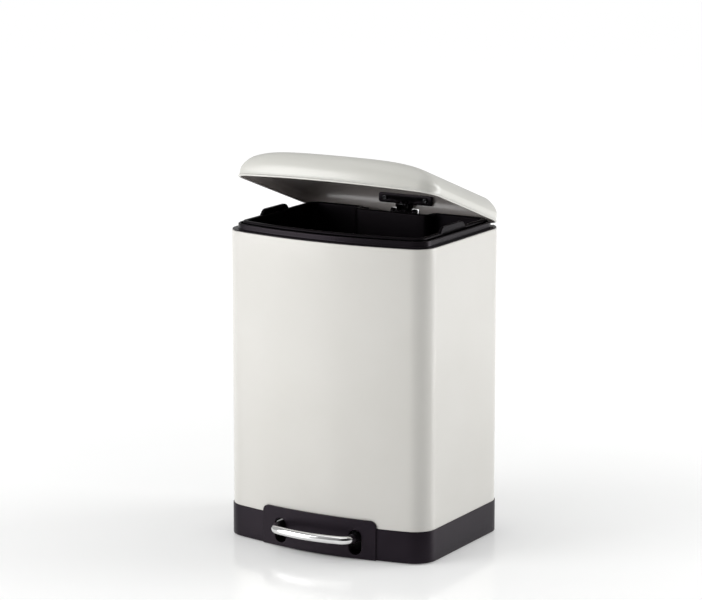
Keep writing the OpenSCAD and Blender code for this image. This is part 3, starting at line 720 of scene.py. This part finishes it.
# lift-out bucket
bucketLow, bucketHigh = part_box("inner_bucket")
bucketDims = {"inset": 19 * mm, "wall": 2 * mm, "floor": 2 * mm, "floorIn": 8 * mm, "baseRound": 1.8 * mm,
              "rimOut": 5 * mm, "rimThick": 3 * mm, "rimRound": 2.2 * mm, "rimLip": 0.9 * mm,
              "recessHalf": 55 * mm, "recessDeep": 17 * mm, "recessOuter": 3 * mm, "recessInner": 7 * mm}
lugDims = {"rise": 7 * mm, "thick": 4.5 * mm, "base": 34 * mm, "top": 26 * mm, "y": -11 * mm,
           "sunk": 2.5 * mm, "corner": 4.5 * mm, "edge": 0.5 * mm, "ribs": 3, "ribPitch": 4.2 * mm,
           "ribHalf": 0.8 * mm, "ribDeep": 0.9 * mm, "ribOff": 1.4 * mm}


def bucketPlan():
    d = bucketDims
    inset = d["inset"]
    back, side = backY - inset, halfWidth - inset
    small = plan["cornerRadius"] - inset
    frontCorner = (cornerX, cornerFrontY)
    outer, inner = d["recessOuter"], d["recessInner"]
    deep = back - d["recessDeep"]
    return traceOutline((0, frontY + inset), (0, -1), [
        {"centre": (0, arcY), "turn": frontTurn, "steps": 20},
        {"centre": frontCorner, "turn": 90 - frontTurn, "steps": 10},
        {"to": (side, cornerBackY), "steps": 6},
        {"centre": (side - small, cornerBackY), "turn": 90, "steps": 10},
        {"to": (d["recessHalf"] + outer, back), "steps": 3},
        {"centre": (d["recessHalf"] + outer, back - outer), "turn": 90, "steps": 6},
        {"to": (d["recessHalf"], deep + inner), "steps": 1},
        {"centre": (d["recessHalf"] - inner, deep + inner), "turn": -90, "steps": 6},
        {"to": (0, deep), "steps": 4}])


rimTop = bucketHigh.z - lugDims["rise"]


def buildBucket():
    d = bucketDims
    low, wall, r, lip, bead = bucketLow.z, -d["wall"], d["baseRound"], d["rimLip"], d["rimRound"]
    rimLow, inside = rimTop - d["rimThick"], low + d["floor"]
    section = [(-d["floorIn"], low), (-r, low)]
    section += quarter((-r, low + r), r, -90, 0, 4)[1:]
    section += [(0, rimLow - 1.0 * mm), (0.4 * mm, rimLow), (d["rimOut"] - lip, rimLow)]
    section += quarter((d["rimOut"] - lip, rimLow + lip), lip, -90, 0, 3)[1:]
    section += quarter((d["rimOut"] - bead, rimTop - bead), bead, 25, 90, 6)
    section += quarter((wall + bead, rimTop - bead), bead, 90, 180, 6)
    section += [(wall, inside + 3 * mm), (wall - 0.8 * mm, inside + 0.8 * mm), (wall - 2.2 * mm, inside),
                (-d["floorIn"], inside)]
    bm, ring = bucketPlan()
    first = ring["edges"]
    last = sweepSection(bm, ring, section)
    for edges in (first, last["edges"]):        # underside and inside floor
        bmesh.ops.triangle_fill(bm, use_beauty=True, use_dissolve=False, edges=edges)
    bmesh.ops.recalc_face_normals(bm, faces=bm.faces)
    bucket = makeObject("liftOutBucket", bm)
    finishPiece(bucket, "bucket", "bucketBlack", "bucket_plastic", "inner_bucket")


def buildLugs():
    d = lugDims
    bm = bmesh.new()
    lugX = halfWidth + bucketDims["rimOut"] - bucketDims["inset"] - d["thick"]
    centreY = midY + d["y"]
    foot = rimTop - d["sunk"]
    for side in (-1, 1):
        made = bmesh.ops.create_grid(bm, x_segments=8, y_segments=1, size=1.0)["verts"]
        for vert in made:        # a grid stood up on its long edge, then its top drawn in
            high = 0.5 + vert.co.y / 2
            along = vert.co.x * (d["base"] + (d["top"] - d["base"]) * high)
            vert.co = Vector((side * lugX, centreY + along, foot + high * (d["rise"] + d["sunk"])))
        pullFaces(bm, list({f for v in made for f in v.link_faces}), (side * d["thick"], 0, 0))
        ribX = side * (lugX - d["ribOff"])
        for rib in range(d["ribs"]):        # upright grip ribs on the inner face
            y = centreY + 0.45 * d["base"] - rib * d["ribPitch"]
            cutterBox(bm, (ribX - d["ribDeep"], y - d["ribHalf"], foot + 1 * mm),
                      (ribX + d["ribDeep"], y + d["ribHalf"], foot + d["rise"] + 1.2 * mm))
    bmesh.ops.recalc_face_normals(bm, faces=bm.faces)
    corners = [e for e in bentEdges(bm, 40)
               if abs(e.verts[0].co.x - e.verts[1].co.x) > 3 * mm and e.verts[0].co.z > foot + 5 * mm]
    bevelEdges(bm, corners, d["corner"], 6)
    bevelEdges(bm, bentEdges(bm, 40), d["edge"], 2)
    finishPiece(makeObject("fingerLugs", bm), "bucket", "bucketBlack", "bucket_plastic", "inner_bucket")


buildBucket()
buildLugs()
print("bucket done")

# domed lid
lidDims = {"offset": -2.5 * mm, "back": 3 * mm, "gap": 2 * mm, "skirt": 9.4 * mm, "dome": 27 * mm,
           "fall": 0.69, "fallPower": 5.5, "shoulder": 18.6 * mm, "crownY": -9 * mm, "sheet": 0.8 * mm,
           "bead": 1.2 * mm, "skirtRings": (3 * mm, 6 * mm), "notchHalf": 20 * mm, "domeSteps": 14,
           "scales": (0.95, 0.9, 0.84, 0.78, 0.7, 0.62, 0.53, 0.44, 0.34, 0.24, 0.14, 0.06)}
lidShut = -joints["lid_hinge"]["range_deg"][0]        # how far the stored pose stands open


def domeFall(x):
    return 1 - lidDims["fall"] * min(1.0, abs(x) / halfWidth) ** lidDims["fallPower"]


def lidRule(outward, rise, share=0.0, scale=1.0):        # share of the pillow's height, scale about the crown
    d = lidDims
    base = bodyTop + d["gap"]
    crown = Vector((0, midY + d["crownY"], 0))

    def rule(foot, out):
        point = Vector((foot.x, foot.y, 0)) + out * outward
        point = crown + (point - crown) * scale
        height = base + rise + d["dome"] * share * domeFall(point.x)
        return Vector((point.x, point.y + d["back"], height))
    return rule


def sweepDome(bm, ring, outward, sink):        # shoulder, then rings shrinking to the crown
    d = lidDims
    for step in range(d["domeSteps"] + 1):
        angle = math.radians(90 * step / d["domeSteps"])
        inset = outward - d["shoulder"] * (1 - math.cos(angle))
        ring = nextRing(bm, ring, lidRule(inset, d["skirt"] - sink * math.sin(angle), math.sin(angle)))
    inset = outward - d["shoulder"]
    for scale in d["scales"]:
        ring = nextRing(bm, ring, lidRule(inset, d["skirt"] - sink, 1.0, scale))
    centre = lidRule(inset, d["skirt"] - sink, 1.0, 0.0)(Vector((0, 0, 0)), Vector((0, 0, 0)))
    bmesh.ops.pointmerge(bm, verts=list(ring["seat"]), merge_co=centre)


def buildLid():
    d = lidDims
    bm, start = bodyPlan(30, 14, 8, 10)
    out, inner, bead = d["offset"], d["offset"] - d["sheet"], d["bead"]
    for vert, seat in start["seat"].items():
        vert.co = lidRule(out - 0.4 * mm, 0)(*seat)
    for outward, fromAngle, toAngle, sink in ((out, -60, 75, 0.0), (inner, -120, -255, d["sheet"])):
        ring = start        # the outer skin, then the inner one, from the same lower edge
        skirt = quarter((outward, bead), bead, fromAngle, toAngle, 6)
        for place, rise in skirt + [(outward, height) for height in d["skirtRings"]]:
            ring = nextRing(bm, ring, lidRule(place, rise))
        sweepDome(bm, ring, outward, sink)
    bmesh.ops.recalc_face_normals(bm, faces=bm.faces)
    lid = makeObject("domedLid", bm, 40)
    notch = bmesh.new()
    back = backY + d["back"] + d["offset"]
    cutterBox(notch, (-d["notchHalf"], back - 9 * mm, bodyTop + d["gap"] - 3 * mm),
              (d["notchHalf"], back + 5 * mm, bodyTop + d["gap"] + 9 * mm))
    cutAway(lid, notch, 40)
    bm = bmesh.new()
    bm.from_mesh(lid.data)
    aboutHinge(bm, "lid_hinge", lidShut)
    bm.to_mesh(lid.data)
    bm.free()
    finishPiece(lid, "lid", "lidPaint", "lid_paint", "lid_shell")
    lid.data.materials.append(finishes["lidInside"])
    pivot, turn = hingeTurn("lid_hinge", lidShut)
    hollow = pivot + turn @ (Vector((0, midY, bodyTop + d["skirt"])) - pivot)
    for face in lid.data.polygons:        # a darker colour on the inside faces
        face.material_index = 1 if face.normal.dot(face.center - hollow) < 0 else 0


buildLid()
print("lid done")

# smaller parts: CAD shapes with their edges broken
smallParts = {        # node: (body, finish, slot, bevel width in millimetres)
    "lid_bracket": ("lid", "bracketBlack", "bracket_plastic", 0.6),
    "hinge_bracket": ("root", "bracketBlack", "hinge_steel", 0.35),
    "axle_brackets": ("root", "zincPlate", "bracket_steel", 0.35),
    "pedal_lever": ("pedal", "leverCoat", "lever_steel", 0.4),
    "base_floor": ("root", "floorGrey", "floor_plastic", 0.3),
    "rubber_feet": ("root", "footRubber", "rubber", 0.5),
    "rod_guide": ("root", "whiteNylon", "nylon", 0.4),
    "rod_head": ("push_rod", "bracketBlack", "nylon_head", 0.5),
    "rod_foot": ("push_rod", "whiteNylon", "nylon_foot", 0.3),
    "push_rod": ("push_rod", "drawnSteel", "rod_steel", 0.4),
    "pedal_axle": ("root", "drawnSteel", "axle_steel", 0.5),
    "hinge_pin": ("root", "blackedSteel", "pin_steel", 0.5),
    "crank_pin": ("lid", "blackedSteel", "crank_steel", 0.3),
    "lid_screws": ("lid", "blackedSteel", "lid_screw_steel", 0.25),
    "bracket_screws": ("root", "zincPlate", "zinc_screw", 0.25),
    "floor_screws": ("root", "zincPlate", "zinc_steel", 0.25),
    "axle_clips": ("root", "springSteel", "clip_steel", 0.15),
    "pin_clip": ("root", "blackedSteel", "pin_clip_steel", 0.15),
}


def breakEdges(node, body, finish, slotName, width):
    bm = bmesh.new()
    bm.from_mesh(frame["nodes"][node].data)
    bmesh.ops.remove_doubles(bm, verts=bm.verts, dist=1e-6)
    bmesh.ops.dissolve_limit(bm, angle_limit=math.radians(0.5), use_dissolve_boundaries=False,
                             verts=bm.verts, edges=bm.edges, delimit=set())
    bevelEdges(bm, bentEdges(bm, 35), width * mm, 2)
    piece = makeObject(node + "_soft", bm)
    finishPiece(piece, body, finish, slotName, node)


for node, (body, finish, slotName, width) in smallParts.items():
    breakEdges(node, body, finish, slotName, width)
print("small parts done")

# floor, light and camera
# glow keys: painted light on the floor, dimmed near and under the bin as painted shade
stageDims = {"size": 12.0, "dark": (0.86, 0.865, 0.86, 1), "light": (0.88, 0.885, 0.88, 1), "rough": 0.13,
             "gloss": 0.35, "glow": 0.62, "glowNear": 0.4, "glowFrom": 0.25, "glowTo": 1.6,
             "underFrom": 0.1, "underTo": 0.12}
softboxes = {        # name: (power, size, place)
    "leftSoftbox": (50, (1.8, 2.0), (-1.9, -2.15, 1.2)),
    "rightSoftbox": (46, (1.5, 2.0), (2.2, 1.7, 1.1)),
    "topSoftbox": (13, (2.2, 2.2), (0.1, -0.1, 2.6)),
}
airDims = {"seen": 1.05, "open": 0.44, "shaded": 0.0, "shade": (0.84, -0.53, 0.1), "from": 0.2, "to": 0.9,
           "lampAim": (0, 0, 0.25)}


def buildStage():
    d = stageDims
    bm = bmesh.new()
    bmesh.ops.create_grid(bm, x_segments=2, y_segments=2, size=d["size"])
    floor = makeObject("studioFloor", bm)
    material, tree, shader = startMaterial("studioFloorPaint")
    cloud = useEffect(tree, "orangePeel")
    tree.links.new(blendColour(tree, cloud["Cloud"], d["dark"], d["light"]), shader.inputs["Base Color"])
    shader.inputs["Roughness"].default_value = d["rough"]
    shader.inputs["Specular IOR Level"].default_value = d["gloss"]
    place = addNode(tree, "ShaderNodeTexCoord").outputs["Object"]
    away = addNode(tree, "ShaderNodeVectorMath", {0: place}, operation="LENGTH").outputs["Value"]
    sweep = spread(tree, away, d["glowFrom"], d["glowTo"], d["glowNear"], 1.0)
    bare = spread(tree, away, d["underFrom"], d["underTo"], 0.0, 1.0)        # painted shadow: no glow under the bin
    glow = addNode(tree, "ShaderNodeMath", {0: sweep, 1: bare}, operation="MULTIPLY")
    tree.links.new(glow.outputs[0], shader.inputs["Emission Color"])        # painted light: the floor glows, brighter away from the bin and dimmer near it as painted shade
    shader.inputs["Emission Strength"].default_value = d["glow"]
    floor.data.materials.append(material)


def softLight(name, power, size, place):
    lamp = bpy.data.lights.new(name, "AREA")
    lamp.shape = "RECTANGLE"
    lamp.size, lamp.size_y = size
    lamp.energy = power
    obj = bpy.data.objects.new(name, lamp)
    bpy.context.scene.collection.objects.link(obj)
    obj.location = place
    obj.rotation_euler = (Vector(airDims["lampAim"]) - Vector(place)).to_track_quat("-Z", "Y").to_euler()


def buildAir():        # white to the camera, and darker light from the right and front
    d = airDims
    world = bpy.data.worlds.new("studioAir")
    world.use_nodes = True
    tree = world.node_tree
    sky = tree.nodes["Background"]
    sky.inputs["Color"].default_value = (1, 1, 1, 1)
    seen = addNode(tree, "ShaderNodeLightPath").outputs["Is Camera Ray"]
    way = addNode(tree, "ShaderNodeTexCoord").outputs["Generated"]
    toward = addNode(tree, "ShaderNodeVectorMath", {0: way, 1: d["shade"]}, operation="DOT_PRODUCT")
    air = spread(tree, toward.outputs["Value"], d["from"], d["to"], d["open"], d["shaded"])
    light = addNode(tree, "ShaderNodeMix", {"Factor": seen, "A": air, "B": d["seen"]}, data_type="FLOAT")
    tree.links.new(light.outputs[0], sky.inputs["Strength"])
    bpy.context.scene.world = world


cameraPlace = {"location": (1.8046, -3.0707, 1.0319), "target": (-0.0166, 0.0150, 0.3056), "lens": 146.5}


def buildCamera():
    lens = bpy.data.cameras.new("viewCamera")
    lens.lens = cameraPlace["lens"]
    lens.sensor_width = 36
    lens.clip_end = 60
    camera = bpy.data.objects.new("viewCamera", lens)
    bpy.context.scene.collection.objects.link(camera)
    place, target = Vector(cameraPlace["location"]), Vector(cameraPlace["target"])
    camera.location = place
    camera.rotation_euler = (target - place).to_track_quat("-Z", "Y").to_euler()
    bpy.context.scene.camera = camera


buildStage()
for name, (power, size, place) in softboxes.items():
    softLight(name, power, size, place)
buildAir()
buildCamera()
bpy.context.scene.view_settings.view_transform = "Standard"
print("stage done")
